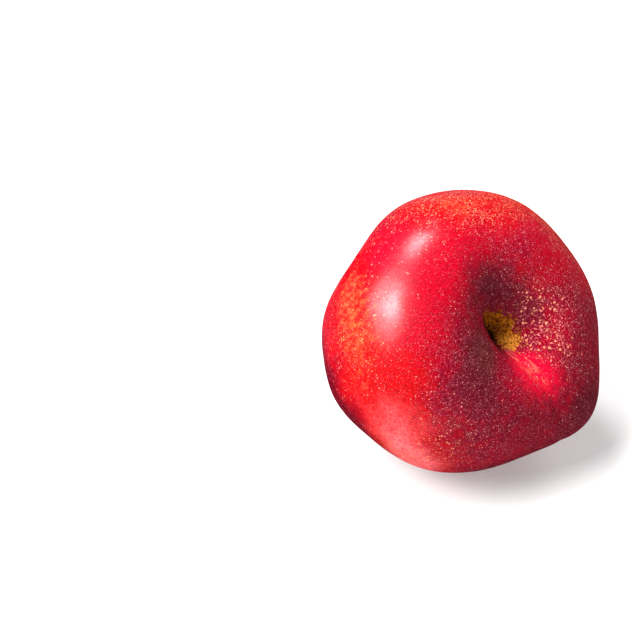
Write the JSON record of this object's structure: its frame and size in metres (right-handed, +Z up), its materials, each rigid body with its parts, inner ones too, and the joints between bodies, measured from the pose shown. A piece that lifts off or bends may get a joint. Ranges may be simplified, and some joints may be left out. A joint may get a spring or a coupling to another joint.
{
  "type": "nectarine",
  "caption": "Whole ripe nectarine, squat and lopsided, with a folded blossom basin, a shallow suture and a round stem scar, lying on a small flat spot.",
  "frame": {"origin": "on the ground, under the middle of the fruit's bounding box", "axes": "+Z up as it lies, -Y to the front, where the blossom end looks forward, up and a little towards +X; the stem end looks back, down and towards -X"},
  "size_m": [0.07, 0.0662, 0.0666],
  "materials": {
    "skin": "smooth hairless fruit skin with a satin sheen, crimson to maroon over orange-yellow, with fine pale lenticel dots, russet in the blossom basin and a yellow-green stem scar"
  },
  "bodies": {
    "root": {"nectarine": "skin"}
  },
  "joints": []
}
